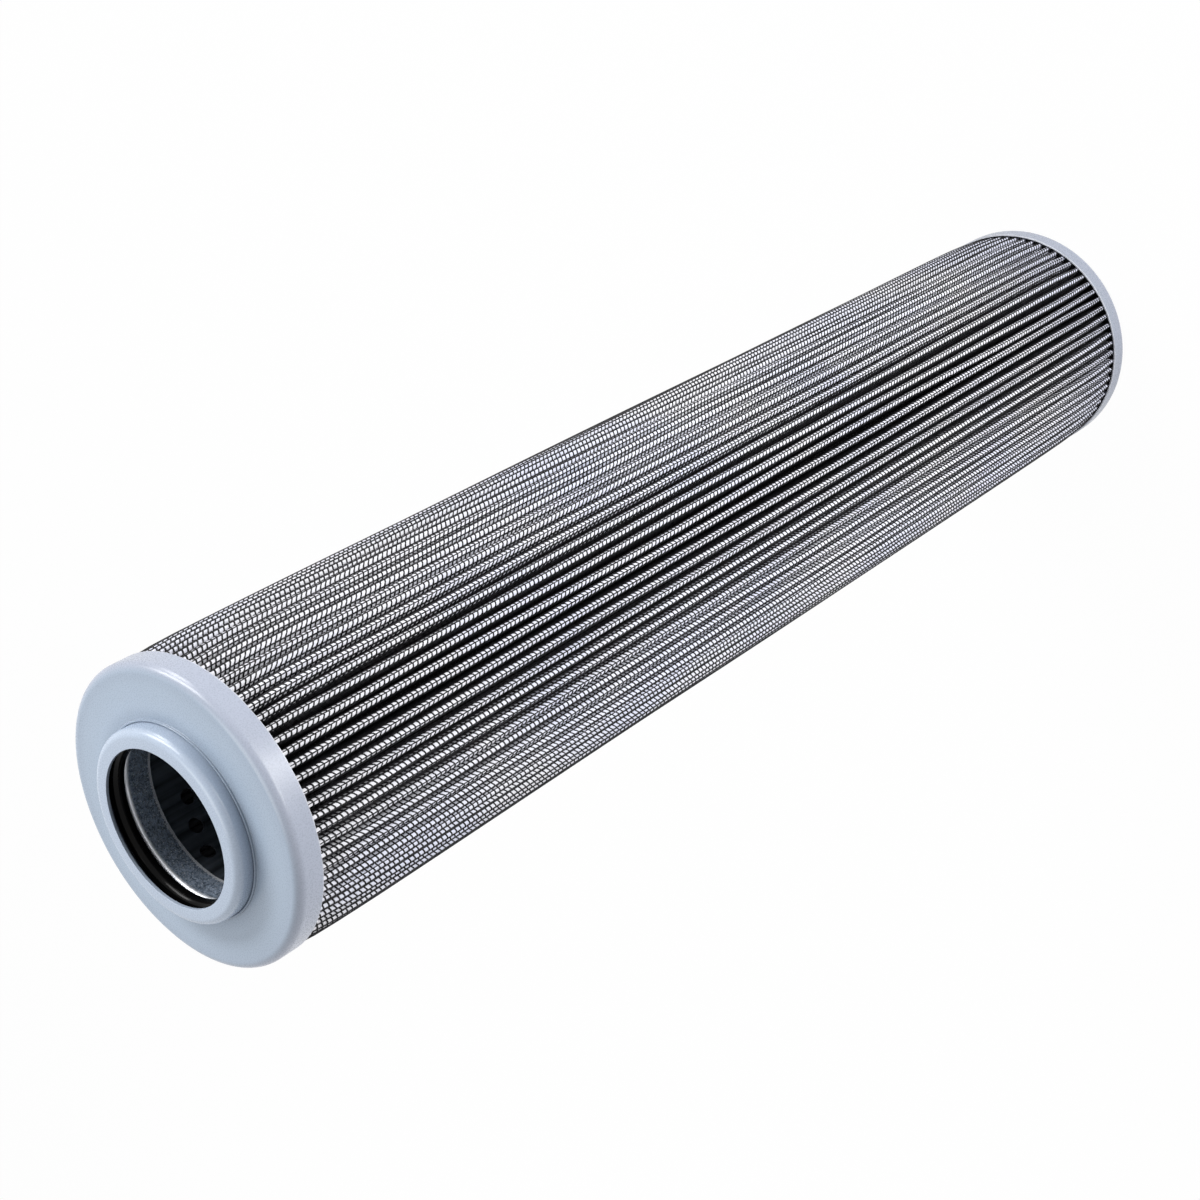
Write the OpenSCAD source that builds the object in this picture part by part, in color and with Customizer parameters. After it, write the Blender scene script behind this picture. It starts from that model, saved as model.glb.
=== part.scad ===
// Pleated return-line element: a filter pack round a perforated core, between two pressed end caps.
// It stands on its closed cap at z = 0, on the Z axis, with the open neck on top.

/* [Overall] */
// Outer diameter of the end caps
cap_d = 78; // [70:1:90]
// Height from the closed face to the open cap's face
body_h = 393; // [120:1:500]

/* [End caps] */
// Sheet thickness of the end caps
cap_sheet = 0.5; // [0.4:0.1:0.8]
// Depth of each cap's skirt
cap_depth = 7.5; // [6.5:0.1:12]
// Outer radius of each cap's rounded corner
cap_corner_r = 2.3; // [1.2:0.1:3.5]
// Height of the small upturned edge round the neck
collar_h = 0.6; // [0.5:0.1:1]

/* [Neck and seal] */
// Inner diameter of the seal ring
seal_id = 40; // [32:0.5:42]
// Thickness of the seal ring's section
seal_section = 4; // [3:0.1:4.5]
// Height of the neck above the open cap's face
neck_h = 5; // [4.5:0.1:10]
// Sheet thickness of the neck
neck_wall = 0.8; // [0.6:0.1:1]
// Outer radius of the neck's rounded corner
neck_corner_r = 2; // [1.2:0.1:2.5]
// Diameter of the hole in the neck's lip
lip_bore_d = 40.6; // [40:0.1:42]
// Width of the neck's foot under the cap
foot_w = 3; // [1.5:0.1:4]

/* [Sleeve and core] */
// Bore of the sleeve that carries the seal ring
sleeve_bore_d = 43; // [42:0.1:44]
// Sheet thickness of the sleeve
sleeve_wall = 0.8; // [0.5:0.1:1]
// Radius of the sleeve's rounded mouth
sleeve_mouth_r = 1.2; // [1.1:0.1:1.5]
// Length of the sleeve, its flange included
sleeve_l = 7.9; // [4:0.1:20]
// Wall of the core tube
core_wall = 0.6; // [0.4:0.1:1]
// Diameter of the holes in the core tube
core_hole_d = 4; // [2:0.1:5]
// Holes in one turn of a row
core_holes_turn = 20; // [12:1:22]
// Height that one turn of a row of holes climbs
core_lead = 37; // [20:1:60]
// Distance from the core tube's top to the first hole
core_blank = 12; // [8:0.5:20]
// Direction of the first hole, in degrees round the axis
core_first_turn = 115.3; // [0:0.1:360]

/* [Filter pack] */
// Number of pleats
pleat_count = 74; // [60:1:76]
// Thickness of the outer wire mesh
outer_mesh_t = 0.28; // [0.2:0.01:0.3]
// Thickness of the outer fleece
outer_fleece_t = 0.1; // [0.06:0.01:0.12]
// Thickness of the filter medium
media_t = 0.18; // [0.1:0.01:0.2]
// Thickness of the inner fleece
inner_fleece_t = 0.08; // [0.05:0.01:0.1]
// Thickness of the inner wire mesh
inner_mesh_t = 0.16; // [0.1:0.01:0.18]
// Half of the gap left inside each fold
fold_gap = 0.06; // [0.02:0.01:0.1]

/* [Adhesive] */
// Adhesive level below the edge of each skirt
bed_recess = 1.5; // [0.5:0.1:2]
// Adhesive left between a cap and the end of the pack
bed_under = 0.9; // [0.5:0.1:1]
// Radial height of the adhesive along the pack's side seam
seam_h = 5.5; // [3:0.1:7]
// Distance from the middle of the pleats' tips to the seam adhesive
seam_recess = 0.5; // [0.2:0.1:2]

/* [Clearances] */
// Gap between the pleat tips and the skirts
tip_fit = 0.1; // [0.05:0.01:0.3]
// Gap between the pack and the core tube
core_fit = 0.1; // [0.05:0.01:0.3]
// Gap between the neck and the edge of the cap's hole
neck_fit = 0.1; // [0.05:0.01:0.3]
// Gap between the seal ring and the sheet round it
seal_fit = 0.05; // [0.02:0.01:0.1]
// Gap between two layers of the pack
layer_fit = 0.01; // [0.01:0.01:0.02]
// Gap between the adhesive and what it holds
bed_fit = 0.02; // [0.01:0.01:0.05]

/* [Hidden] */

$fn = 96;
arc_steps = 10;
small_arc_steps = 4;
edge_arc_steps = 8;

// How far a cutter runs past the face that it cuts
cut_past = 1;

// Caps
cap_r = cap_d / 2;
cap_ir = cap_r - cap_sheet;
cap_bend_r = cap_corner_r - cap_sheet;
cap_inner_z = body_h - cap_sheet;

// Neck, seal and sleeve, from the seal ring outwards
seal_mid_r = seal_id / 2 + seal_section / 2;
neck_ir = seal_id / 2 + seal_section + seal_fit;
neck_or = neck_ir + neck_wall;
neck_top = body_h + neck_h;
neck_bend_r = neck_corner_r - neck_wall;
neck_foot_bend_r = 0.5;
foot_r = neck_or + foot_w;
foot_z = cap_inner_z - neck_wall;
lip_r = lip_bore_d / 2;
collar_ir = neck_or + neck_fit;
collar_fillet_r = 0.2;
sleeve_ir = sleeve_bore_d / 2;
sleeve_or = sleeve_ir + sleeve_wall;
sleeve_bend_x = sleeve_ir + sleeve_mouth_r;
sleeve_flange_z = foot_z - sleeve_wall;
sleeve_end_z = foot_z - sleeve_l;
seal_z = foot_z + seal_fit + seal_section / 2;

// Core tube, which stands on the closed cap and clears the bend of the sleeve
core_ir = sleeve_bend_x;
core_or = core_ir + core_wall;
core_z = cap_sheet;
core_top = sleeve_flange_z;
core_first_z = core_top - core_blank;
core_last_z = core_z + core_blank;
core_step = core_lead / core_holes_turn;
core_row_holes = floor((core_first_z - core_last_z) / core_step);

// Pack
pack_t = outer_mesh_t + outer_fleece_t + media_t + inner_fleece_t + inner_mesh_t + 4 * layer_fit;
outer_fleece_in = outer_mesh_t + layer_fit;
media_in = outer_fleece_in + outer_fleece_t + layer_fit;
inner_fleece_in = media_in + media_t + layer_fit;
inner_mesh_in = inner_fleece_in + inner_fleece_t + layer_fit;
pack_ir = core_or + core_fit;
// The lower end of the pack clears the rounded corner inside the closed cap
pack_z = cap_sheet + max(bed_under, cap_bend_r);
pack_top = sleeve_flange_z - bed_under;
pack_h = pack_top - pack_z;

// One pleat is a pair of parallel flanks with a round tip, and a round root joins it to the next
pleat_half = 180 / pleat_count;
tip_r = pack_t + fold_gap;
tip_x = cap_ir - tip_fit - tip_r;
root_x = (pack_ir + pack_t - tip_r) / (1 - sin(pleat_half));
root_r = root_x * sin(pleat_half) - tip_r;
tip_steps = 4;
root_steps = 2;

// Adhesive
bed_top = cap_depth - bed_recess;
bed_low = body_h - bed_top;
bed_or = cap_ir - bed_fit;
bed_ir = core_or + bed_fit;
seam_out = tip_x - seam_recess;
seam_in = seam_out - seam_h;
seam_valley = floor(pleat_count * 0.4);

// Points of an arc, from angle a0 to a1
function arc(x, y, r, a0, a1, steps = arc_steps) =
    [for (i = [0:steps]) let (a = a0 + (a1 - a0) * i / steps) [x + r * cos(a), y + r * sin(a)]];

// A point turned about the axis
function turned(p, a) = [p[0] * cos(a) - p[1] * sin(a), p[0] * sin(a) + p[1] * cos(a)];

// One pleat at a depth into the pack: round its tip, then round the root after it
function pleat(depth) = concat(
    arc(tip_x, 0, tip_r - depth, -90, 90, tip_steps),
    arc(
        root_x * cos(pleat_half), root_x * sin(pleat_half), root_r + depth,
        270, 90 + 2 * pleat_half, root_steps
    )
);

// The whole pleated outline at a depth into the pack
function pleated(depth) =
    [for (k = [0:pleat_count - 1]) for (p = pleat(depth)) turned(p, 2 * pleat_half * k)];

// Half of the width of the gap between two pleats, at a distance from the axis
function valley(x) = x * tan(pleat_half) - tip_r / cos(pleat_half);

// A pleated sheet that follows the pack from one depth to another
module pleated_sheet(depth, thickness) {
    translate([0, 0, pack_z])
        linear_extrude(height = pack_h)
            difference() {
                polygon(pleated(depth));
                polygon(pleated(depth + thickness));
            }
}

// The slot that the pack leaves in an adhesive bed
module pack_slot(z, h) {
    translate([0, 0, z])
        linear_extrude(height = h)
            difference() {
                polygon(pleated(-bed_fit));
                polygon(pleated(pack_t + bed_fit));
            }
}

// Pressed cup that closes the bottom
module closed_end_cap() {
    color("lightsteelblue")
        rotate_extrude()
            polygon(concat(
                [[0, 0]],
                arc(cap_r - cap_corner_r, cap_corner_r, cap_corner_r, 270, 360),
                [[cap_r, cap_depth], [cap_ir, cap_depth]],
                arc(cap_r - cap_corner_r, cap_corner_r, cap_bend_r, 360, 270),
                [[0, cap_sheet]]
            ));
}

// Pressed cup with a hole for the neck, and a small upturned edge round it
module open_end_cap() {
    color("lightsteelblue")
        rotate_extrude()
            polygon(concat(
                [[collar_ir, cap_inner_z]],
                arc(cap_r - cap_corner_r, body_h - cap_corner_r, cap_bend_r, 90, 0),
                [[cap_ir, body_h - cap_depth], [cap_r, body_h - cap_depth]],
                arc(cap_r - cap_corner_r, body_h - cap_corner_r, cap_corner_r, 0, 90),
                arc(
                    collar_ir + cap_sheet + collar_fillet_r, body_h + collar_fillet_r, collar_fillet_r,
                    270, 180, small_arc_steps
                ),
                arc(
                    collar_ir + cap_sheet / 2, body_h + collar_h - cap_sheet / 2, cap_sheet / 2,
                    0, 180, edge_arc_steps
                )
            ));
}

// Pressed ring round the seal, with an inward lip on top and a foot held under the cap
module neck_ring() {
    color("lightsteelblue")
        rotate_extrude()
            polygon(concat(
                [[lip_r, neck_top - neck_wall], [lip_r, neck_top]],
                arc(neck_or - neck_corner_r, neck_top - neck_corner_r, neck_corner_r, 90, 0),
                [[neck_or, cap_inner_z], [foot_r, cap_inner_z], [foot_r, foot_z]],
                arc(
                    neck_ir + neck_foot_bend_r, foot_z + neck_foot_bend_r, neck_foot_bend_r,
                    270, 180, small_arc_steps
                ),
                arc(neck_or - neck_corner_r, neck_top - neck_corner_r, neck_bend_r, 0, 90)
            ));
}

// Rubber ring that seals on the spigot
module seal_ring() {
    color("black")
        rotate_extrude()
            translate([seal_mid_r, seal_z])
                circle(d = seal_section);
}

// Galvanised sleeve: its flange carries the seal and its tube goes into the core
module seal_sleeve() {
    color("silver")
        rotate_extrude()
            polygon(concat(
                [[foot_r, sleeve_flange_z], [foot_r, foot_z]],
                arc(sleeve_bend_x, foot_z - sleeve_mouth_r, sleeve_mouth_r, 90, 180),
                [[sleeve_ir, sleeve_end_z], [sleeve_or, sleeve_end_z]],
                arc(
                    sleeve_bend_x, foot_z - sleeve_mouth_r, sleeve_mouth_r - sleeve_wall,
                    180, 90, small_arc_steps
                )
            ));
}

// Perforated tube, with two spiral rows of holes down its length
module core_tube() {
    color("dimgray")
        difference() {
            translate([0, 0, core_z])
                cylinder(r = core_or, h = core_top - core_z);
            translate([0, 0, core_z - cut_past])
                cylinder(r = core_ir, h = core_top - core_z + 2 * cut_past);
            for (row = [0:1])
                for (i = [0:core_row_holes])
                    core_hole(row, i);
        }
}

module core_hole(row, i) {
    z = core_first_z - i * core_step;
    rotate([0, 0, core_first_turn + 180 * row - (i + row / 2) * 360 / core_holes_turn])
        translate([core_ir - cut_past, 0, z])
            rotate([0, 90, 0])
                cylinder(d = core_hole_d, h = core_wall + 2 * cut_past, $fn = 32);
}

module inner_mesh() {
    color("gray") pleated_sheet(inner_mesh_in, inner_mesh_t);
}

module inner_fleece() {
    color("white") pleated_sheet(inner_fleece_in, inner_fleece_t);
}

module filter_media() {
    color("ivory") pleated_sheet(media_in, media_t);
}

module outer_fleece() {
    color("white") pleated_sheet(outer_fleece_in, outer_fleece_t);
}

module outer_mesh() {
    color("dimgray") pleated_sheet(0, outer_mesh_t);
}

// Adhesive in one gap between two pleats, where the two ends of the pack meet
module seam_adhesive() {
    valley_turn = pleat_half * (2 * seam_valley + 1);
    half_in = valley(seam_in) - bed_fit;
    half_out = valley(seam_out) - bed_fit;
    color("black")
        rotate([0, 0, valley_turn])
            translate([0, 0, bed_top + bed_fit])
                linear_extrude(height = bed_low - bed_top - 2 * bed_fit)
                    polygon([
                        [seam_in, -half_in], [seam_out, -half_out],
                        [seam_out, half_out], [seam_in, half_in]
                    ]);
}

// Adhesive bed in the closed cap
module closed_end_adhesive() {
    color("black")
        difference() {
            rotate_extrude()
                polygon(concat(
                    [[bed_ir, cap_sheet + bed_fit]],
                    arc(cap_r - cap_corner_r, cap_corner_r, cap_bend_r - bed_fit, 270, 360),
                    [[bed_or, bed_top], [bed_ir, bed_top]]
                ));
            pack_slot(pack_z - bed_fit, bed_top);
        }
}

// Adhesive bed in the open cap, round the neck's foot and the sleeve's flange
module open_end_adhesive() {
    color("black")
        difference() {
            rotate_extrude()
                polygon(concat(
                    [
                        [bed_ir, bed_low], [bed_ir, sleeve_flange_z - bed_fit],
                        [foot_r + bed_fit, sleeve_flange_z - bed_fit],
                        [foot_r + bed_fit, cap_inner_z - bed_fit]
                    ],
                    arc(cap_r - cap_corner_r, body_h - cap_corner_r, cap_bend_r - bed_fit, 90, 0),
                    [[bed_or, bed_low]]
                ));
            pack_slot(bed_low - cut_past, pack_top + bed_fit - bed_low + cut_past);
        }
}

closed_end_cap();
open_end_cap();
neck_ring();
seal_ring();
seal_sleeve();
core_tube();
inner_mesh();
inner_fleece();
filter_media();
outer_fleece();
outer_mesh();
seam_adhesive();
closed_end_adhesive();
open_end_adhesive();
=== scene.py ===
import math

import bmesh
import bpy
import numpy as np
from mathutils import Matrix, Vector, noise


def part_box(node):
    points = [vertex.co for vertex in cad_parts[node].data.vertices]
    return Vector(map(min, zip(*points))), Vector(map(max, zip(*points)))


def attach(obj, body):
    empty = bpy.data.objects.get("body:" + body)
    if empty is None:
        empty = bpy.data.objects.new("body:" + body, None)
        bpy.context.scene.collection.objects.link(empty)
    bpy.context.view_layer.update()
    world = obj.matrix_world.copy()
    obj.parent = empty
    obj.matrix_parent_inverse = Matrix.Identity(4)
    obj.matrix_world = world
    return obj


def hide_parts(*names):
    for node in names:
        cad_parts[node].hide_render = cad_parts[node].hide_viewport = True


# A pleated filter element, stood on its closed cap with the open neck on top

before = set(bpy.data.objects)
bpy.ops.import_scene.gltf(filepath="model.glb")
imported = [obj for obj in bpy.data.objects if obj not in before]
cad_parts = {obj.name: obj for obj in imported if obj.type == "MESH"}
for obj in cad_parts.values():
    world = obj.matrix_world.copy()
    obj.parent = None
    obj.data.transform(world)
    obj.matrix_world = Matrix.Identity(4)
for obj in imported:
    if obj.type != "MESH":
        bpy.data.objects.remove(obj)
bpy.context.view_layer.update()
mm = 0.001
print("frame loaded")


def heights(node):
    low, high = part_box(node)
    return low.z / mm, high.z / mm


def reach(node):
    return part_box(node)[1].x / mm


capRadius = reach("closed_end_cap")
neckFloor, neckTop = heights("neck_ring")
sleeveEnd, sleeveTop = heights("seal_sleeve")
packLow, packHigh = heights("outer_mesh")
packReach = reach("outer_mesh")
closedBedTop = heights("closed_end_adhesive")[1]
openBedLow = heights("open_end_adhesive")[0]


# Materials

def startMaterial(name):
    material = bpy.data.materials.new(name)
    material.use_nodes = True
    tree = material.node_tree
    coordinates = tree.nodes.new("ShaderNodeTexCoord")
    return material, tree, tree.nodes["Principled BSDF"], coordinates.outputs["Object"]


def addNode(tree, kind, inputs, **settings):
    made = tree.nodes.new("ShaderNode" + kind)
    for key, value in settings.items():
        setattr(made, key, value)
    for socket, value in inputs.items():
        if isinstance(value, bpy.types.NodeSocket):
            tree.links.new(value, made.inputs[socket])
        else:
            made.inputs[socket].default_value = value
    return made


def addNoise(tree, place, size, detail=3.0, rough=0.5):
    # size is the width of one blotch, in mm
    inputs = {"Vector": place, "Scale": 1 / (size * mm), "Detail": detail, "Roughness": rough}
    return addNode(tree, "TexNoise", inputs).outputs["Fac"]


def addStretch(tree, place, stretch):
    return addNode(tree, "Mapping", {"Vector": place, "Scale": stretch}).outputs["Vector"]


def addRange(tree, value, low, high, toLow=0.0, toHigh=1.0, smooth=False):
    inputs = {"Value": value, "From Min": low, "From Max": high, "To Min": toLow, "To Max": toHigh}
    blend = "SMOOTHSTEP" if smooth else "LINEAR"
    return addNode(tree, "MapRange", inputs, interpolation_type=blend).outputs["Result"]


def addMath(tree, operation, first, second=0.0):
    return addNode(tree, "Math", {0: first, 1: second}, operation=operation).outputs["Value"]


def addRadius(tree, place):
    flat = addNode(tree, "VectorMath", {0: place, 1: (1, 1, 0)}, operation="MULTIPLY")
    return addNode(tree, "VectorMath", {0: flat.outputs["Vector"]}, operation="LENGTH").outputs["Value"]


def addHeight(tree, place):
    return addNode(tree, "SeparateXYZ", {"Vector": place}).outputs["Z"]


def addCells(tree, place, size):
    # how far away the nearest cell's middle is, and that cell's own random number
    cells = addNode(tree, "TexVoronoi", {"Vector": place, "Scale": 1 / (size * mm)})
    lot = addNode(tree, "SeparateXYZ", {"Vector": cells.outputs["Color"]}).outputs["X"]
    return cells.outputs["Distance"], lot


def mixColours(tree, factor, first, second):
    mixer = tree.nodes.new("ShaderNodeMix")
    mixer.data_type = "RGBA"
    for index, value in ((0, factor), (6, first), (7, second)):
        if isinstance(value, bpy.types.NodeSocket):
            tree.links.new(value, mixer.inputs[index])
        else:
            mixer.inputs[index].default_value = value if index == 0 else (*value, 1)
    return mixer.outputs[2]


def setSurface(tree, shader, look, colour, relief):
    # bump holds the strength, and the depth in mm
    tree.links.new(colour, shader.inputs["Base Color"])
    shader.inputs["Metallic"].default_value = look.get("metallic", 0.0)
    shader.inputs["Specular IOR Level"].default_value = look.get("specular", 0.5)
    strength, depth = look["bump"]
    bump = addNode(tree, "Bump", {"Height": relief, "Strength": strength, "Distance": depth * mm})
    tree.links.new(bump.outputs["Normal"], shader.inputs["Normal"])


def setRoughness(tree, shader, look, grain, low=0.3, high=0.7):
    # the roughness follows a grain between its two ends
    rough = addRange(tree, grain, low, high, *look["roughness"])
    tree.links.new(rough, shader.inputs["Roughness"])


capPaint = {
    "face": (0.398, 0.48, 0.588),
    "shadedRim": (0.375, 0.45, 0.555),
    "rimShadeBand": (5.5, 2.6),
    "skirt": (0.385, 0.42, 0.51),
    "skirtBand": (2.2, 0.1),
    "skirtSpread": 0.03,
    "skirtBump": 0.4,
    "closedPaintedShade": 0.8,
    "cutEdge": (0.62, 0.64, 0.70),
    "cutBand": (0.08, 0.3),
    "stain": (0.2, 0.24, 0.3),
    "stainShare": 0.05,
    "stainSize": 14.0,
    "shadeAndStain": (0.17, 0.21, 0.27),
    "paintedShadeShare": 0.4,
    "neckShadow": 4.0,
    "grain": 0.35,
    "speck": (0.03, 0.03, 0.03),
    "speckSpacing": 9.0,
    "speckSize": 0.16,
    "speckFree": 0.86,
    "roughness": (0.24, 0.33),
    "bump": (0.15, 0.02),
}


def makeCapPaint(name, skirtEdge, paintedSkirtShade=1.0):
    look = capPaint
    material, tree, shader, place = startMaterial(name)
    radius = addRadius(tree, place)
    grain = addNoise(tree, place, look["grain"], 2.0)

    # the face is painted a little darker towards the rim, a painted shade, and the rim turns into the
    # grainy skirt
    rimFrom, rimTo = ((capRadius - inwards) * mm for inwards in look["rimShadeBand"])
    shade = addRange(tree, radius, rimFrom, rimTo, smooth=True)
    colour = mixColours(tree, shade, look["face"], look["shadedRim"])
    skirtFrom, skirtTo = ((capRadius - inwards) * mm for inwards in look["skirtBand"])
    onSkirt = addRange(tree, radius, skirtFrom, skirtTo, smooth=True)
    skirtGrain = addRange(tree, addNoise(tree, place, look["grain"], 3.0), 0.3, 0.7)
    darkSkirt, lightSkirt = (
        tuple(c * (1 + change) * paintedSkirtShade for c in look["skirt"])
        for change in (-look["skirtSpread"], look["skirtSpread"])
    )
    colour = mixColours(tree, onSkirt, colour, mixColours(tree, skirtGrain, darkSkirt, lightSkirt))

    # the paint is thin at the skirt's cut edge and faintly stained, and a shadow is painted on the face
    # beside the neck
    fromEdge = addMath(tree, "SUBTRACT", addHeight(tree, place), skirtEdge * mm)
    cutFrom, cutTo = (distance * mm for distance in look["cutBand"])
    bareEdge = addRange(tree, addMath(tree, "ABSOLUTE", fromEdge), cutFrom, cutTo, 1.0, 0.0)
    colour = mixColours(tree, bareEdge, colour, look["cutEdge"])
    stain = addRange(tree, addNoise(tree, place, look["stainSize"]), 0.35, 0.7, 0.0, look["stainShare"])
    colour = mixColours(tree, stain, colour, look["stain"])
    # painted shade: the face darkens towards the neck's foot
    neckGap = capSizes["collarInside"] + capSizes["sheet"]
    neckFar = (neckGap + look["neckShadow"]) * mm
    paintedNeckShade = addRange(tree, radius, neckGap * mm, neckFar, look["paintedShadeShare"], 0.0, smooth=True)
    colour = mixColours(tree, paintedNeckShade, colour, look["shadeAndStain"])

    # a few cells hold a dark speck
    distance, lot = addCells(tree, place, look["speckSpacing"])
    dots = addRange(tree, distance, 0.0, look["speckSize"] / look["speckSpacing"], 1.0, 0.0)
    chosen = addRange(tree, lot, look["speckFree"], look["speckFree"] + 0.01)
    colour = mixColours(tree, addMath(tree, "MULTIPLY", dots, chosen), colour, look["speck"])
    setRoughness(tree, shader, look, grain)
    rougher = addMath(tree, "MULTIPLY", skirtGrain, addRange(tree, onSkirt, 0, 1, 0, look["skirtBump"]))
    setSurface(tree, shader, look, colour, addMath(tree, "ADD", grain, rougher))
    return material


neckPaint = {
    "colour": (0.465, 0.545, 0.665),
    "shadeAndStain": (0.22, 0.26, 0.33),
    "paintedShadeShare": 0.2,
    "paintedShadeBand": (0.5, 3.0),
    "stainShare": 0.06,
    "stainSize": 9.0,
    "grain": 0.35,
    "roughness": (0.23, 0.32),
    "bump": (0.25, 0.02),
}


def makeNeckPaint():
    look = neckPaint
    material, tree, shader, place = startMaterial("neckPaint")
    grain = addNoise(tree, place, look["grain"], 2.0)
    stain = addRange(tree, addNoise(tree, place, look["stainSize"]), 0.35, 0.7, 0.0, look["stainShare"])
    colour = mixColours(tree, stain, look["colour"], look["shadeAndStain"])
    # painted shade: the wall is painted darker towards its foot on the cap's face
    lowest, highest = ((bodyTop + above) * mm for above in look["paintedShadeBand"])
    low = addRange(tree, addHeight(tree, place), lowest, highest, look["paintedShadeShare"], 0.0, smooth=True)
    colour = mixColours(tree, low, colour, look["shadeAndStain"])
    setRoughness(tree, shader, look, grain)
    setSurface(tree, shader, look, colour, grain)
    return material


sealRubber = {
    "black": (0.003, 0.003, 0.003),
    "worn": (0.006, 0.005, 0.004),
    "wornSize": 6.0,
    "grain": 0.25,
    "roughness": (0.11, 0.24),
    "specular": 0.08,
    "bump": (0.15, 0.01),
}


def makeSealRubber():
    look = sealRubber
    material, tree, shader, place = startMaterial("sealRubber")
    cloud = addRange(tree, addNoise(tree, place, look["wornSize"]), 0.55, 0.75)
    fine = addNoise(tree, place, look["grain"], 2.0)
    setRoughness(tree, shader, look, fine)
    setSurface(tree, shader, look, mixColours(tree, cloud, look["black"], look["worn"]), fine)
    return material


sleeveZinc = {
    "light": (0.38, 0.46, 0.58),
    "dark": (0.12, 0.155, 0.205),
    "cloudSize": 2.2,
    "spangle": 0.35,
    "mouth": (0.78, 0.80, 0.84),
    "mouthHighlightBand": (1.5, 1.0),
    "torn": (0.75, 0.78, 0.82),
    "tornReach": 1.1,
    "tornShares": (0.74, 0.14),
    "grain": 0.3,
    "metallic": 0.75,
    "roughness": (0.4, 0.62),
    "bump": (0.3, 0.02),
}


def makeSleeveZinc():
    look = sleeveZinc
    material, tree, shader, place = startMaterial("sleeveZinc")
    height = addHeight(tree, place)
    spangle = addCells(tree, place, look["spangle"])[1]
    cloud = addNoise(tree, place, look["cloudSize"], 4.0)
    shade = addRange(tree, addMath(tree, "ADD", spangle, cloud), 0.5, 1.5)
    colour = mixColours(tree, shade, look["dark"], look["light"])
    # a painted highlight: the rounded mouth is coloured bright
    mouthLow, mouthHigh = ((sleeveTop - below) * mm for below in look["mouthHighlightBand"])
    colour = mixColours(tree, addRange(tree, height, mouthLow, mouthHigh), colour, look["mouth"])

    # bright crumbs, dense at the torn end and sparse further up
    crumbs = addNoise(tree, place, look["grain"], 2.0)
    tornTop = (sleeveEnd + look["tornReach"]) * mm
    nearEnd = addRange(tree, height, sleeveEnd * mm, tornTop, *look["tornShares"])
    bright = addMath(tree, "SUBTRACT", crumbs, addMath(tree, "SUBTRACT", 0.75, nearEnd))
    colour = mixColours(tree, addRange(tree, bright, 0.0, 0.08), colour, look["torn"])
    setRoughness(tree, shader, look, spangle, 0.0, 1.0)
    setSurface(tree, shader, look, colour, addMath(tree, "ADD", spangle, crumbs))
    return material


coreSteel = {
    "dark": (0.018, 0.023, 0.029),
    "light": (0.14, 0.165, 0.20),
    "streak": 2.5,
    "stretch": (1, 1, 0.04),
    "grain": 0.3,
    "metallic": 0.6,
    "roughness": (0.4, 0.6),
    "bump": (0.2, 0.02),
}


def makeCoreSteel():
    look = coreSteel
    material, tree, shader, place = startMaterial("coreSteel")
    streaks = addNoise(tree, addStretch(tree, place, look["stretch"]), look["streak"], 4.0)
    colour = mixColours(tree, addRange(tree, streaks, 0.35, 0.7), look["dark"], look["light"])
    fine = addNoise(tree, place, look["grain"], 2.0)
    setRoughness(tree, shader, look, fine)
    setSurface(tree, shader, look, colour, fine)
    return material


fleeceLook = {
    "white": (0.84, 0.84, 0.88),
    "tint": (0.76, 0.78, 0.90),
    "tintSize": 45.0,
    "far": (0.66, 0.68, 0.80),
    "farHeight": 70.0,
    "fibre": 0.18,
    "fibreStretch": (1, 1, 0.35),
    "fibreShade": (0.5, 0.5, 0.56),
    "fibreShare": 0.25,
    "shadow": (0.003, 0.003, 0.004),
    "bright": (2.15, 2.42),
    "dark": (2.55, 2.6),
    "roughness": 0.85,
    "specular": 0.2,
    "bump": (0.5, 0.05),
}


def makeFleece(columns, each):
    # the piece's own map tells how far down its pleat a place lies, in columns from the crown's middle;
    # shade is painted down each flank, and the side that follows the crown is painted dark sooner than the
    # one before it
    look = fleeceLook
    material, tree, shader, place = startMaterial("outerFleece")
    flatMap = addNode(tree, "UVMap", {}, uv_map="flatMap").outputs["UV"]
    across = addNode(tree, "SeparateXYZ", {"Vector": flatMap}).outputs["X"]
    column = addMath(tree, "MODULO", addMath(tree, "MULTIPLY", across, columns), each)
    middle = clothLayers["outerFleece"]["tipSteps"] / 2
    after = addMath(tree, "SUBTRACT", column, middle)
    before = addMath(tree, "SUBTRACT", each + middle, column)
    cloud = addRange(tree, addNoise(tree, place, look["tintSize"], 2.0), 0.4, 0.65)
    colour = mixColours(tree, cloud, look["white"], look["tint"])
    fibres = addNoise(tree, addStretch(tree, place, look["fibreStretch"]), look["fibre"], 4.0, 0.6)
    fibreShare = addRange(tree, fibres, 0.55, 0.8, 0.0, look["fibreShare"])
    colour = mixColours(tree, fibreShare, colour, look["fibreShade"])
    far = addRange(tree, addHeight(tree, place), 0.0, look["farHeight"] * mm, 1.0, 0.0, smooth=True)
    colour = mixColours(tree, far, colour, look["far"])
    # painted shade: the fleece goes dark down each flank towards the root
    litAfter, litBefore = (
        addRange(tree, way, bright, dark, 1.0, 0.0)
        for way, bright, dark in zip((after, before), look["bright"], look["dark"])
    )
    colour = mixColours(tree, addMath(tree, "MAXIMUM", litAfter, litBefore), look["shadow"], colour)
    shader.inputs["Roughness"].default_value = look["roughness"]
    setSurface(tree, shader, look, colour, fibres)
    return material


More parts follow.
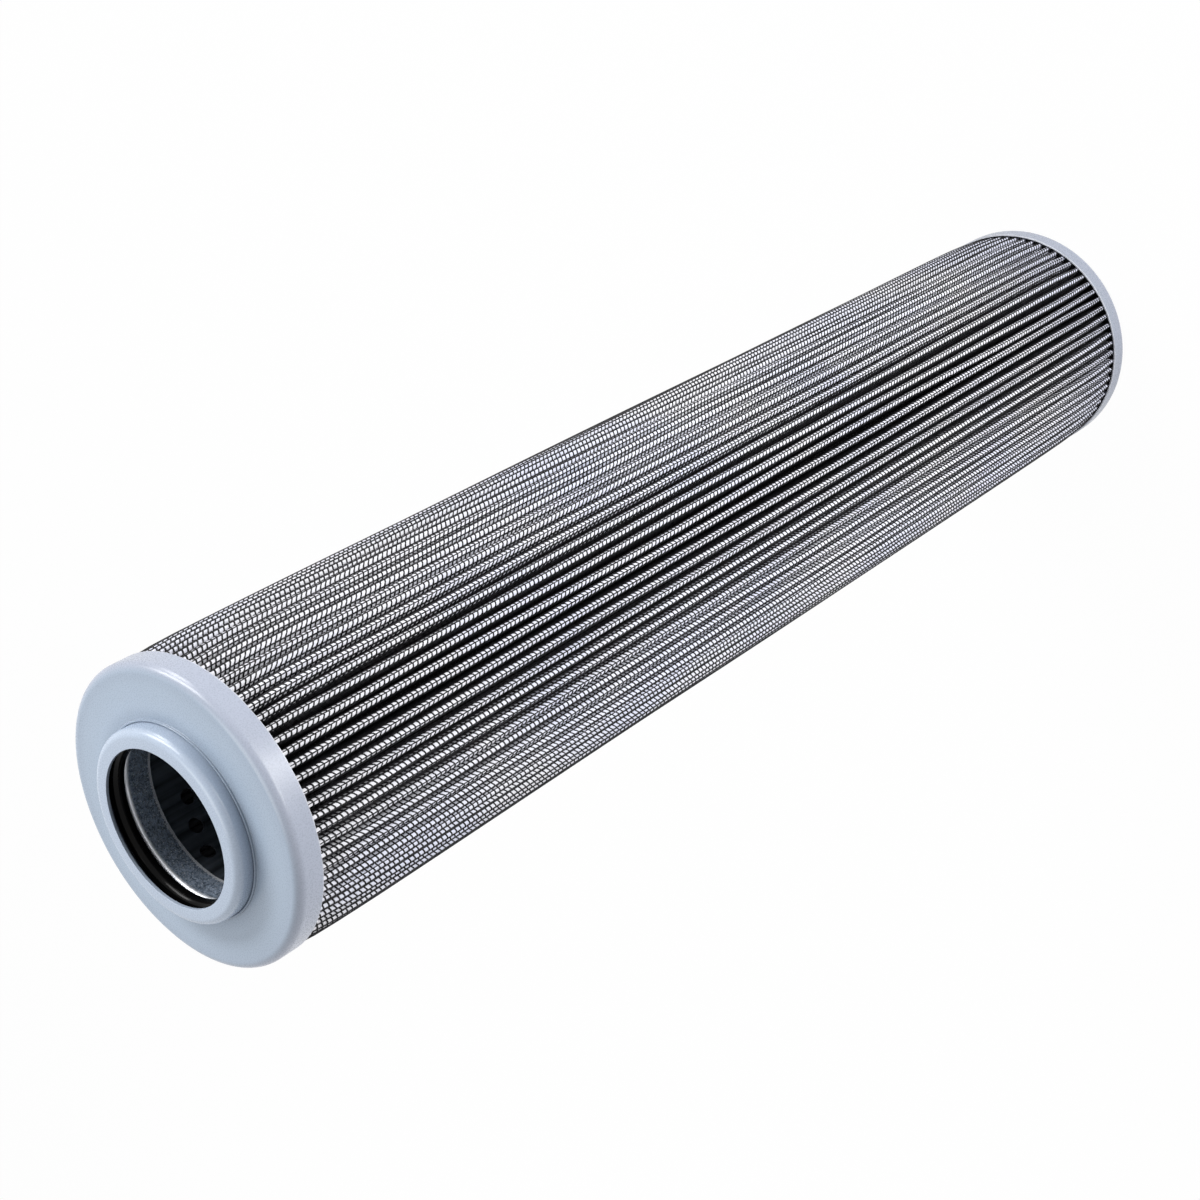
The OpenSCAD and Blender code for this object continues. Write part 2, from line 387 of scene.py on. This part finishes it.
hiddenLooks = {
    "filterMat": {"colour": (0.85, 0.83, 0.76), "roughness": 0.9, "bump": (0.4, 0.04)},
    "innerFleece": {"colour": (0.85, 0.85, 0.85), "roughness": 0.9, "bump": (0.4, 0.04)},
    "plainWire": {"colour": (0.035, 0.035, 0.037), "roughness": 0.5, "metallic": 0.5, "bump": (0.4, 0.04)},
}


def makeHiddenCloth(name):
    look = hiddenLooks[name]
    material, tree, shader, place = startMaterial(name)
    fibres = addNoise(tree, place, 0.3, 4.0)
    dull = tuple(c * 0.8 for c in look["colour"])
    colour = mixColours(tree, addRange(tree, fibres, 0.3, 0.7), dull, look["colour"])
    shader.inputs["Roughness"].default_value = look["roughness"]
    setSurface(tree, shader, look, colour, fibres)
    return material


wireCoat = {
    "black": (0.006, 0.006, 0.007),
    "dust": (0.03, 0.03, 0.034),
    "dustSize": 1.2,
    "grain": 0.12,
    "roughness": (0.35, 0.55),
    "specular": 0.2,
    "bump": (0.2, 0.01),
}


def makeWireCoat():
    look = wireCoat
    material, tree, shader, place = startMaterial("wireCoat")
    cloud = addRange(tree, addNoise(tree, place, look["dustSize"]), 0.4, 0.7)
    fine = addNoise(tree, place, look["grain"], 2.0)
    setRoughness(tree, shader, look, fine)
    setSurface(tree, shader, look, mixColours(tree, cloud, look["black"], look["dust"]), fine)
    return material


resinLook = {
    "dark": (0.006, 0.006, 0.007),
    "light": (0.02, 0.02, 0.024),
    "lightSize": 3.0,
    "roughness": (0.3, 0.55),
    "bump": (0.4, 0.2),
}


def makeResin():
    look = resinLook
    material, tree, shader, place = startMaterial("darkResin")
    cloud = addNoise(tree, place, look["lightSize"])
    colour = mixColours(tree, addRange(tree, cloud, 0.35, 0.7), look["dark"], look["light"])
    setRoughness(tree, shader, look, cloud)
    setSurface(tree, shader, look, colour, cloud)
    return material


# Turned and pressed rings

def finishPiece(name, mesh, material, slotName, *replaced):
    piece = bpy.data.objects.new(name, mesh)
    bpy.context.scene.collection.objects.link(piece)
    mesh.materials.append(material)
    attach(piece, "root")
    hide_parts(*replaced)


ringSizes = {
    "steps": 192,
    "bends": 10,
    "sharpAngle": 50,
}


def withSupports(corners, closed):
    # a rounded corner gets a point on each side, so that flat faces beside it shade flat
    points = []
    for index, (radius, height, rounding) in enumerate(corners):
        here = Vector((radius, 0, height))
        before = after = None
        if closed or index > 0:
            before = Vector((corners[index - 1][0], 0, corners[index - 1][1])) - here
        if closed or index < len(corners) - 1:
            follow = corners[(index + 1) % len(corners)]
            after = Vector((follow[0], 0, follow[1])) - here
        step = rounding * 1.1 + 0.04
        room = 2 * step + 1
        if rounding and before and before.length > room:
            points.append((here + before.normalized() * step, 0))
        points.append((here, rounding))
        if rounding and after and after.length > room:
            points.append((here + after.normalized() * step, 0))
    return points


def turnedRing(corners, steps=ringSizes["steps"], closed=True):
    # corners hold radius, height and rounding in mm, and the ring is turned about the axis
    bm = bmesh.new()
    points = withSupports(corners, closed)
    outline = [bm.verts.new(point * mm) for point, rounding in points]
    ends = outline[1:] + (outline[:1] if closed else [])
    for first, second in zip(outline, ends):
        bm.edges.new((first, second))
    for corner, (point, rounding) in zip(outline, points):
        if rounding:
            bmesh.ops.bevel(
                bm, geom=[corner], offset=rounding * mm, affect="VERTICES",
                segments=ringSizes["bends"], profile=0.5, material=-1, clamp_overlap=False,
            )
    bmesh.ops.spin(
        bm, geom=bm.verts[:] + bm.edges[:], cent=(0, 0, 0), axis=(0, 0, 1), angle=2 * math.pi,
        steps=steps, use_merge=True,
    )
    bmesh.ops.remove_doubles(bm, verts=bm.verts[:], dist=0.001 * mm)
    bmesh.ops.dissolve_degenerate(bm, edges=bm.edges[:], dist=0.0005 * mm)
    bmesh.ops.recalc_face_normals(bm, faces=bm.faces[:])
    return bm


def toMesh(bm, name):
    for face in bm.faces:
        face.smooth = True
    mesh = bpy.data.meshes.new(name)
    bm.to_mesh(mesh)
    bm.free()
    mesh.set_sharp_from_angle(angle=math.radians(ringSizes["sharpAngle"]))
    return mesh


capSizes = {
    "sheet": 0.5,
    "skirt": 7.5,
    "corner": 2.3,
    "collarInside": 24.95,
    "collarHeight": 0.6,
    "collarFoot": 0.2,
    "cutRound": 0.08,
    "edgeWave": 0.16,
    "edgeWaveLength": 4.0,
    "edgeWaveDepth": 1.2,
}

bodyTop = heights("open_end_cap")[1] - capSizes["collarHeight"]


def waveEdge(bm, edge, away, seed):
    # the cut edge of a skirt runs a little unevenly
    sizes = capSizes
    deepest = sizes["edgeWaveDepth"]
    for vert in bm.verts:
        radius = Vector((vert.co.x, vert.co.y, 0)).length
        depth = (vert.co.z / mm - edge) * away
        if depth < deepest and radius > (capRadius - 1) * mm:
            fade = 1 - max(depth, 0) / deepest
            spot = Vector((vert.co.x, vert.co.y, seed)) / (sizes["edgeWaveLength"] * mm)
            vert.co.z += away * noise.noise(spot) * sizes["edgeWave"] * mm * fade


def makeCaps():
    sizes = capSizes
    sheet = sizes["sheet"]
    inside = capRadius - sheet
    cut = sizes["cutRound"]
    bm = turnedRing([
        (0, 0, 0), (capRadius, 0, sizes["corner"]), (capRadius, sizes["skirt"], cut),
        (inside, sizes["skirt"], cut), (inside, sheet, sizes["corner"] - sheet), (0, sheet, 0),
    ], closed=False)
    waveEdge(bm, sizes["skirt"], -1, 3)
    # the closed cap's skirt gets a painted shade, darker than the open cap's
    material = makeCapPaint("closedCapPaint", sizes["skirt"], capPaint["closedPaintedShade"])
    finishPiece("closedEndCap", toMesh(bm, "closedEndCap"), material, "cap_paint", "closed_end_cap")

    edge = bodyTop - sizes["skirt"]
    ceiling = bodyTop - sheet
    collarIn = sizes["collarInside"]
    collarOut = collarIn + sheet
    collarTop = bodyTop + sizes["collarHeight"]
    tipRound = sheet / 2 - 0.02
    bm = turnedRing([
        (collarIn, ceiling, 0), (inside, ceiling, sizes["corner"] - sheet), (inside, edge, cut),
        (capRadius, edge, cut), (capRadius, bodyTop, sizes["corner"]),
        (collarOut, bodyTop, sizes["collarFoot"]), (collarOut, collarTop, tipRound),
        (collarIn, collarTop, tipRound),
    ])
    waveEdge(bm, edge, 1, 8)
    material = makeCapPaint("openCapPaint", edge)
    finishPiece("openEndCap", toMesh(bm, "openEndCap"), material, "cap_paint", "open_end_cap")


neckSizes = {
    "wall": 0.8,
    "outside": 24.85,
    "corner": 2.0,
    "lipRadius": 20.3,
    "lipEdge": 0.1,
    "lipUnderside": 0.05,
    "foot": 27.85,
    "footBend": 0.5,
}


def makeNeck():
    sizes = neckSizes
    wall = sizes["wall"]
    under = neckTop - wall
    inside = sizes["outside"] - wall
    bm = turnedRing([
        (sizes["lipRadius"], under, sizes["lipUnderside"]),
        (sizes["lipRadius"], neckTop, sizes["lipEdge"]),
        (sizes["outside"], neckTop, sizes["corner"]), (sizes["outside"], neckFloor + wall, 0),
        (sizes["foot"], neckFloor + wall, 0), (sizes["foot"], neckFloor, 0),
        (inside, neckFloor, sizes["footBend"]), (inside, under, sizes["corner"] - wall),
    ])
    finishPiece("neckRing", toMesh(bm, "neckRing"), makeNeckPaint(), "cap_paint", "neck_ring")


sealSizes = {"middle": 22.0, "section": 4.0, "around": 40}


def makeSeal():
    sizes = sealSizes
    bm = bmesh.new()
    stand = Matrix.Rotation(math.pi / 2, 4, "X")
    centre = Matrix.Translation(Vector((sizes["middle"], 0, sum(heights("seal_ring")) / 2)) * mm)
    bmesh.ops.create_circle(
        bm, segments=sizes["around"], radius=sizes["section"] / 2 * mm, cap_ends=False,
        matrix=centre @ stand,
    )
    bmesh.ops.spin(
        bm, geom=bm.verts[:] + bm.edges[:], cent=(0, 0, 0), axis=(0, 0, 1), angle=2 * math.pi,
        steps=ringSizes["steps"], use_merge=True,
    )
    bmesh.ops.recalc_face_normals(bm, faces=bm.faces[:])
    finishPiece("sealRing", toMesh(bm, "sealRing"), makeSealRubber(), "seal_rubber", "seal_ring")


sleeveSizes = {
    "wall": 0.8,
    "bore": 21.5,
    "mouth": 1.2,
    "flange": 27.85,
    "steps": 320,
    "endRound": 0.05,
    "endMark": 0.3,
    "raggedness": 0.22,
    "raggedLength": 0.45,
    "raggedDepth": 0.2,
}


def makeSleeve():
    sizes = sleeveSizes
    wall = sizes["wall"]
    inside = sizes["bore"]
    outside = inside + wall
    mark = sleeveEnd + sizes["endMark"]
    bm = turnedRing([
        (sizes["flange"], sleeveTop - wall, 0), (sizes["flange"], sleeveTop, 0),
        (inside, sleeveTop, sizes["mouth"]), (inside, mark, 0),
        (inside, sleeveEnd, sizes["endRound"]), (outside, sleeveEnd, sizes["endRound"]),
        (outside, mark, 0), (outside, sleeveTop - wall, sizes["mouth"] - wall),
    ], steps=sizes["steps"])
    for vert in bm.verts:
        if vert.co.z / mm < sleeveEnd + sizes["raggedDepth"]:
            spot = Vector((vert.co.x, vert.co.y, 0)) / (sizes["raggedLength"] * mm)
            vert.co.z += abs(noise.noise(spot)) * sizes["raggedness"] * mm
    finishPiece("sealSleeve", toMesh(bm, "sealSleeve"), makeSleeveZinc(), "galvanised_steel", "seal_sleeve")


makeCaps()
makeNeck()
makeSeal()
makeSleeve()
print("caps, neck, seal and sleeve turned")


# The pleated pack: each layer is laid flat, then folded by the same rule

packSizes = {
    "pleats": 74,
    "tipRadius": 0.9,
    "innerRadius": 23.4,
    "thickness": 0.84,
    "rows": 26,
    "crowdedEnds": 0.6,
    "bedGap": 1.0,
    "bulge": 0.85,
    "bulgeGap": 0.5,
    "bulgeRise": 7.0,
    "bulgeSpread": 0.12,
    "bulgeLength": 47.0,
    "leanWaves": ((420.0, 0.22), (190.0, 0.17), (85.0, 0.09)),
    "leanOwn": 0.7,
    "leanShared": 0.45,
    "leanOffset": 0.13,
    "leanMost": 0.45,
    "leanRise": 22.0,
    "fatter": 0.28,
    "fatterRise": 6.0,
    "widthSpread": 0.07,
    "widthLength": 31.0,
    "seamPleats": (29, 30),
    "seed": 11,
}

pleatCount = packSizes["pleats"]
halfPleat = math.pi / pleatCount
tipRadius = packSizes["tipRadius"]
tipCentre = packReach - tipRadius
rootCentre = (packSizes["innerRadius"] + packSizes["thickness"] - tipRadius) / (1 - math.sin(halfPleat))
rootRadius = rootCentre * math.sin(halfPleat) - tipRadius
rootX = rootCentre * math.cos(halfPleat)
rootY = rootCentre * math.sin(halfPleat)
tipLength = math.pi * tipRadius
flankLength = tipCentre - rootX
rootTurn = math.pi - 2 * halfPleat
rootLength = rootRadius * rootTurn
pleatLength = tipLength + 2 * flankLength + rootLength

draws = np.random.default_rng(packSizes["seed"])
leanPhases = draws.uniform(0, 2 * math.pi, (len(packSizes["leanWaves"]), pleatCount))
leanGains = draws.normal(0, 1, (len(packSizes["leanWaves"]), pleatCount))
leanGains = packSizes["leanOwn"] * leanGains + packSizes["leanShared"] * np.roll(leanGains, 1, axis=1)
leanOffsets = draws.normal(0, packSizes["leanOffset"], pleatCount)
leanOffsets[list(packSizes["seamPleats"])] = 0
leanGains[:, list(packSizes["seamPleats"])] = 0
bulgePhases = draws.uniform(0, 2 * math.pi, pleatCount)
widthPhases = draws.uniform(0, 2 * math.pi, pleatCount)
crownShifts = draws.normal(0, 1, pleatCount)
rootShifts = draws.normal(0, 1, pleatCount)
slantPhases = draws.uniform(0, 2 * math.pi, pleatCount)


def smoothStep(value):
    value = np.clip(value, 0, 1)
    return value * value * (3 - 2 * value)


def freeOfBeds(height, rise):
    # 0 where the adhesive holds the pack, 1 further away
    gap = packSizes["bedGap"]
    return smoothStep((height - closedBedTop - gap) / rise) * smoothStep((openBedLow - gap - height) / rise)


def pleatLine(along):
    # where a length along the folded line lies: pleat number, place and outward direction in its frame
    number = np.floor(along / pleatLength + 1e-9)
    rest = along - number * pleatLength
    angle = -math.pi / 2 + rest / tipRadius
    x, y = tipCentre + tipRadius * np.cos(angle), tipRadius * np.sin(angle)
    outX, outY = np.cos(angle), np.sin(angle)
    down = rest - tipLength
    flank = down > 0
    x, y = np.where(flank, tipCentre - down, x), np.where(flank, tipRadius, y)
    outX, outY = np.where(flank, 0, outX), np.where(flank, 1, outY)
    across = (down - flankLength) / rootLength
    angle = 1.5 * math.pi - rootTurn * np.clip(across, 0, 1)
    root = across > 0
    x = np.where(root, rootX + rootRadius * np.cos(angle), x)
    y = np.where(root, rootY + rootRadius * np.sin(angle), y)
    outX, outY = np.where(root, -np.cos(angle), outX), np.where(root, -np.sin(angle), outY)
    up = down - flankLength - rootLength
    rising = up > 0
    number = number + rising
    x, y = np.where(rising, rootX + up, x), np.where(rising, -tipRadius, y)
    outX, outY = np.where(rising, 0, outX), np.where(rising, -1, outY)
    return number, x, y, outX, outY


def foldInto(along, depth, height):
    # a flat place becomes a folded one, with each pleat's own lean, bulge and width
    sizes = packSizes
    number, x, y, outX, outY = pleatLine(along)
    x, y = x - depth * outX, y - depth * outY
    own = np.mod(number, pleatCount).astype(int)
    share = np.maximum((x - rootX) / flankLength, 0)
    free = freeOfBeds(height, sizes["leanRise"])
    lean = leanOffsets[own]
    for wave, (length, size) in enumerate(sizes["leanWaves"]):
        angle = 2 * math.pi * height / length + leanPhases[wave][own]
        lean = lean + size * leanGains[wave][own] * np.sin(angle)
    lean = np.clip(lean, -sizes["leanMost"], sizes["leanMost"]) * free
    swell = sizes["fatter"] * freeOfBeds(height, sizes["fatterRise"])
    swell = swell + sizes["widthSpread"] * np.sin(height / sizes["widthLength"] + widthPhases[own]) * free
    skirtEdge = capSizes["skirt"] + sizes["bulgeGap"]
    rise = sizes["bulgeRise"]
    bulge = 1 - np.exp(-np.maximum(height - skirtEdge, 0) / rise)
    bulge = bulge * (1 - np.exp(-np.maximum(bodyTop - skirtEdge - height, 0) / rise))
    swing = np.sin(height / sizes["bulgeLength"] + bulgePhases[own])
    bulge = bulge * (sizes["bulge"] + sizes["bulgeSpread"] * swing)
    x = x + bulge * share
    y = y * (1 + swell * np.minimum(share, 1)) + lean * share
    turn = number * 2 * halfPleat
    return np.stack([x * np.cos(turn) - y * np.sin(turn), x * np.sin(turn) + y * np.cos(turn), height], 1)


def rowHeights(share):
    # heights along the pack, closer together near its ends
    crowded = packSizes["crowdedEnds"]
    return packLow + (packHigh - packLow) * (share - crowded * np.sin(2 * math.pi * share) / (2 * math.pi))


def flatCloth(columns, rows, layers=1, first=0):
    bm = bmesh.new()
    for layer in range(layers):
        place = Matrix.Translation((columns / 2, rows / 2, first + layer))
        size = Matrix.Diagonal((columns, rows, 1, 1))
        bmesh.ops.create_grid(bm, x_segments=columns, y_segments=rows, size=0.5, matrix=place @ size)
    for face in bm.faces:
        face.smooth = True
    return bm


def foldedMesh(bm, name, rule):
    # rule turns flat grid numbers into folded places and a map of the flat cloth
    mesh = bpy.data.meshes.new(name)
    bm.to_mesh(mesh)
    bm.free()
    flat = np.empty(len(mesh.vertices) * 3, np.float32)
    mesh.vertices.foreach_get("co", flat)
    column, row, layer = np.rint(flat.reshape(-1, 3)).astype(int).T
    places, flatMap = rule(column, row, layer)
    mesh.vertices.foreach_set("co", (places * mm).astype(np.float32).ravel())
    corners = np.empty(len(mesh.loops), np.int32)
    mesh.loops.foreach_get("vertex_index", corners)
    uvs = mesh.uv_layers.new(name="flatMap")
    uvs.data.foreach_set("uv", flatMap[corners].astype(np.float32).ravel())
    bm = bmesh.new()
    bm.from_mesh(mesh)
    bmesh.ops.remove_doubles(bm, verts=bm.verts[:], dist=0.0005 * mm)
    bm.to_mesh(mesh)
    bm.free()
    return mesh


def pleatStations(tipSteps, rootSteps, shoulder=0.0):
    # lengths along the line where it bends, and the shoulder is a mark that far below each crown
    flank = [tipLength + shoulder] if shoulder else []
    tip = [tipLength * step / tipSteps for step in range(tipSteps + 1)]
    root = [tipLength + flankLength + rootLength * step / rootSteps for step in range(rootSteps + 1)]
    rising = [pleatLength - shoulder] if shoulder else []
    one = np.array(tip + flank + root + rising)
    whole = np.concatenate([one + number * pleatLength for number in range(pleatCount)])
    return np.append(whole, pleatCount * pleatLength), len(one)


clothLayers = {
    "outerFleece": {"depth": 0.29, "thickness": 0.10, "tipSteps": 4, "rootSteps": 1, "shoulder": 3.2},
    "filterMedia": {"depth": 0.40, "thickness": 0.18, "tipSteps": 2, "rootSteps": 2},
    "innerFleece": {"depth": 0.59, "thickness": 0.08, "tipSteps": 2, "rootSteps": 2},
    "innerMesh": {"depth": 0.68, "thickness": 0.16, "tipSteps": 2, "rootSteps": 2},
}


def clothStations(name):
    layer = clothLayers[name]
    return pleatStations(layer["tipSteps"], layer["rootSteps"], layer.get("shoulder", 0.0))


def pleatedCloth(name):
    layer = clothLayers[name]
    stations = clothStations(name)[0]
    columns = len(stations) - 1
    rows = packSizes["rows"]
    around = 2 * rows + 2  # up the outside, over the top edge, down the inside

    def rule(column, row, sheet):
        row = np.mod(row, around)
        inner = row > rows
        share = np.where(inner, around - 1 - row, row) / rows
        depth = layer["depth"] + layer["thickness"] * inner
        places = foldInto(stations[column], depth, rowHeights(share))
        return places, np.stack([column / columns, row / around], 1)

    return foldedMesh(flatCloth(columns, around), name, rule)


def makeCloths():
    stations, each = clothStations("outerFleece")
    for name, material, slotName, node in (
        ("outerFleece", makeFleece(len(stations) - 1, each), "white_fleece", "outer_fleece"),
        ("filterMedia", makeHiddenCloth("filterMat"), "filter_mat", "filter_media"),
        ("innerFleece", makeHiddenCloth("innerFleece"), "white_fleece", "inner_fleece"),
        ("innerMesh", makeHiddenCloth("plainWire"), "plain_wire", "inner_mesh"),
    ):
        finishPiece(name, pleatedCloth(name), material, slotName, node)


wireSizes = {
    "pitch": 1.5875,
    "skirtGap": 0.35,
    "depth": 0.28,
    "crossWidth": 0.5,
    "farWidth": 0.34,
    "farHeight": 60.0,
    "crossTop": 0.06,
    "crownShift": 0.25,
    "shiftRise": 12.0,
    "slant": 0.5,
    "slantSpread": 0.3,
    "slantLength": 19.0,
    "slantReach": 3.5,
    "axialCount": 18,
    "axialWidth": 0.36,
    "axialTop": 0.0,
    "axialSpread": 0.25,
    "axialWander": 0.1,
    "wanderLength": 23.0,
    "wanderSpread": 0.4,
    "bands": ("Low", "Middle", "High"),
}


def wireShift(along, height):
    # the woven cloth is folded a little askew, so cross wires step up or down from pleat to pleat
    number = np.floor(along / pleatLength + 1e-9)
    rest = along - number * pleatLength
    own = np.mod(number, pleatCount).astype(int)
    following = np.mod(own + 1, pleatCount)
    down = np.clip((rest - tipLength) / flankLength, 0, 1)
    up = np.clip((rest - tipLength - flankLength - rootLength) / flankLength, 0, 1)
    shift = crownShifts[own] * (1 - down) + rootShifts[own] * (down - up) + crownShifts[following] * up
    sizes = wireSizes
    fromCrown = np.minimum(np.abs(rest - tipLength / 2), np.abs(pleatLength + tipLength / 2 - rest))
    nearest = np.where(rest > pleatLength / 2, following, own)
    sway = np.sin(height / sizes["slantLength"] + slantPhases[nearest])
    slant = sizes["slant"] + sizes["slantSpread"] * sway
    drawn = slant * np.minimum(fromCrown, sizes["slantReach"])
    return (shift * sizes["crownShift"] + drawn) * freeOfBeds(height, sizes["shiftRise"])


def crossWires(name, first, count):
    fleece = clothLayers["outerFleece"]
    stations = pleatStations(fleece["tipSteps"], fleece["rootSteps"])[0]
    columns = len(stations) - 1
    sizes = wireSizes

    # one wire lies just clear of the open cap's skirt
    lowest = packLow + (bodyTop - capSizes["skirt"] - sizes["skirtGap"] - packLow) % sizes["pitch"]

    def rule(column, row, layer):
        level = lowest + sizes["pitch"] * layer
        along = stations[column]
        near = smoothStep(level / sizes["farHeight"])
        width = sizes["farWidth"] + (sizes["crossWidth"] - sizes["farWidth"]) * near
        height = level + wireShift(along, level) + (row - 1) * width / 2
        places = foldInto(along, np.where(row == 1, sizes["crossTop"], sizes["depth"]), height)
        return places, np.stack([column / columns, (layer - first + 0.2 + row * 0.3) / count], 1)

    return foldedMesh(flatCloth(columns, 2, count, first), name, rule)


def axialWires(name):
    sizes = wireSizes
    each = sizes["axialCount"]
    count = pleatCount * each
    spacing = pleatLength / each
    rows = packSizes["rows"]
    phases = np.repeat(draws.uniform(0, 2 * math.pi, pleatCount), each)
    phases = phases + draws.normal(0, sizes["wanderSpread"], count)
    offsets = np.repeat(draws.normal(0, sizes["axialSpread"], pleatCount), each)
    start = tipLength / 2  # one wire runs near the middle of each crown

    def rule(column, row, layer):
        height = rowHeights(row / rows)
        wander = sizes["axialWander"] * np.sin(height / sizes["wanderLength"] + phases[layer])
        wander = wander * freeOfBeds(height, sizes["shiftRise"])
        along = start + spacing * layer + offsets[layer] + wander + (column - 1) * sizes["axialWidth"] / 2
        places = foldInto(along, np.where(column == 1, sizes["axialTop"], sizes["depth"]), height)
        return places, np.stack([(layer + 0.2 + column * 0.3) / count, row / rows], 1)

    return foldedMesh(flatCloth(2, rows, count), name, rule)


def makeWires():
    material = makeWireCoat()
    # the lowest wire lies up to a pitch above the pack's end
    levels = int((packHigh - packLow) / wireSizes["pitch"]) - 1
    bands = wireSizes["bands"]
    cuts = [round(levels * step / len(bands)) for step in range(len(bands) + 1)]
    for band, first, last in zip(bands, cuts, cuts[1:]):
        name = "crossWires" + band
        finishPiece(name, crossWires(name, first, last - first), material, "coated_wire", "outer_mesh")
    finishPiece("axialWires", axialWires("axialWires"), material, "coated_wire", "outer_mesh")


makeCloths()
print("cloths folded")
makeWires()
print("wires folded")


# What stays as packed gets its own finish

def dressNode(name, material):
    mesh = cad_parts[name].data
    mesh.materials.clear()
    mesh.materials.append(material)


resin = makeResin()
dressNode("core_tube", makeCoreSteel())
for bedName in ("closed_end_adhesive", "open_end_adhesive", "seam_adhesive"):
    dressNode(bedName, resin)
print("packed nodes dressed")


# Floor, light and camera

stageLook = {
    "floorSize": 8.0,
    "floorWhite": (0.8, 0.8, 0.8),
    "plainShare": 0.975,
    "skyLevel": 0.2,
}


def seenPlainly(tree):
    # 1 for what the camera, metal and glass see, 0 for what only lights
    path = addNode(tree, "LightPath", {})
    seen = addMath(tree, "MAXIMUM", path.outputs["Is Camera Ray"], path.outputs["Is Glossy Ray"])
    return addMath(tree, "MAXIMUM", seen, path.outputs["Is Transmission Ray"])


def makeFloor():
    look = stageLook
    bm = bmesh.new()
    bmesh.ops.create_grid(bm, x_segments=1, y_segments=1, size=look["floorSize"] / 2)
    mesh = bpy.data.meshes.new("floor")
    bm.to_mesh(mesh)
    bm.free()
    floor = bpy.data.objects.new("floor", mesh)
    bpy.context.scene.collection.objects.link(floor)
    material = bpy.data.materials.new("floorWhite")
    material.use_nodes = True
    tree = material.node_tree
    tree.nodes.remove(tree.nodes["Principled BSDF"])
    matt = addNode(tree, "BsdfDiffuse", {"Color": (*look["floorWhite"], 1)})
    plain = addNode(tree, "Emission", {"Color": (1, 1, 1, 1), "Strength": 1.0})
    share = addMath(tree, "MULTIPLY", seenPlainly(tree), look["plainShare"])
    mixed = addNode(tree, "MixShader", {0: share, 1: matt.outputs[0], 2: plain.outputs[0]})
    tree.links.new(mixed.outputs[0], tree.nodes["Material Output"].inputs["Surface"])
    mesh.materials.append(material)


def makeSky():
    world = bpy.data.worlds.new("studio")
    bpy.context.scene.world = world
    world.use_nodes = True
    tree = world.node_tree
    level = addRange(tree, seenPlainly(tree), 0.0, 1.0, stageLook["skyLevel"], 1.0)
    background = tree.nodes["Background"]
    background.inputs["Color"].default_value = (1, 1, 1, 1)
    tree.links.new(level, background.inputs["Strength"])


lamps = {
    "keyLamp": {
        "place": (1.05, -0.05, 0.92), "aim": (0, 0, 0.35), "width": 0.8, "height": 0.35, "power": 12.0,
    },
    "topLamp": {
        "place": (0.08, 0.14, 1.4), "aim": (0, 0, 0.39), "width": 0.7, "height": 0.7, "power": 5.2,
    },
    "frontLamp": {
        "place": (-0.05, -0.8, 0.16), "aim": (0, 0, 0.2), "width": 0.6, "height": 0.3, "power": 2.95,
    },
    "stripLamp": {
        "place": (-0.04, -0.58, 0.12), "aim": (0, -0.04, 0.39), "width": 0.3, "height": 0.12, "power": 0.65,
    },
    "glintLamp": {
        "place": (0, -0.40, 0.06), "aim": (0, -0.04, 0.388), "width": 0.1, "height": 0.1, "power": 0.6,
    },
    "backLamp": {
        "place": (-0.9, 0.75, 0.24), "aim": (0, 0, 0.2), "width": 0.6, "height": 0.3, "power": 6.0,
        "shines": False,
    },
    "rimLamp": {
        "place": (1.0, -0.08, 0.36), "aim": (0, 0, 0.38), "width": 0.3, "height": 0.35, "power": 4.0,
        "lights": False,
    },
}


def makeLamps():
    # a lamp that doesn't shine gives no highlights, and one that doesn't light gives only those
    for name, look in lamps.items():
        data = bpy.data.lights.new(name, "AREA")
        data.shape = "RECTANGLE"
        data.size = look["width"]
        data.size_y = look["height"]
        data.energy = look["power"]
        lamp = bpy.data.objects.new(name, data)
        lamp.location = look["place"]
        lamp.rotation_euler = (Vector(look["aim"]) - lamp.location).to_track_quat("-Z", "Y").to_euler()
        lamp.visible_camera = False
        lamp.visible_glossy = look.get("shines", True)
        lamp.visible_diffuse = look.get("lights", True)
        bpy.context.scene.collection.objects.link(lamp)


cameraSet = {
    "place": (0.0, -0.42008, 0.63512),
    "lookDown": 42.89,
    "azimuth": -0.66,
    "roll": -120.286,
    "lens": 61.814,
    "sensor": 36.0,
}


def makeCamera():
    data = bpy.data.cameras.new("camera")
    data.lens = cameraSet["lens"]
    data.sensor_width = cameraSet["sensor"]
    data.clip_start = 0.01
    camera = bpy.data.objects.new("camera", data)
    turn = Matrix.Rotation(math.radians(-cameraSet["azimuth"]), 4, "Z")
    tilt = Matrix.Rotation(math.radians(90 - cameraSet["lookDown"]), 4, "X")
    roll = Matrix.Rotation(math.radians(cameraSet["roll"]), 4, "Z")
    camera.matrix_world = Matrix.Translation(cameraSet["place"]) @ turn @ tilt @ roll
    bpy.context.scene.collection.objects.link(camera)
    bpy.context.scene.camera = camera


makeFloor()
makeSky()
makeLamps()
makeCamera()
bpy.context.scene.view_settings.view_transform = "Standard"
print("floor, light and camera set")
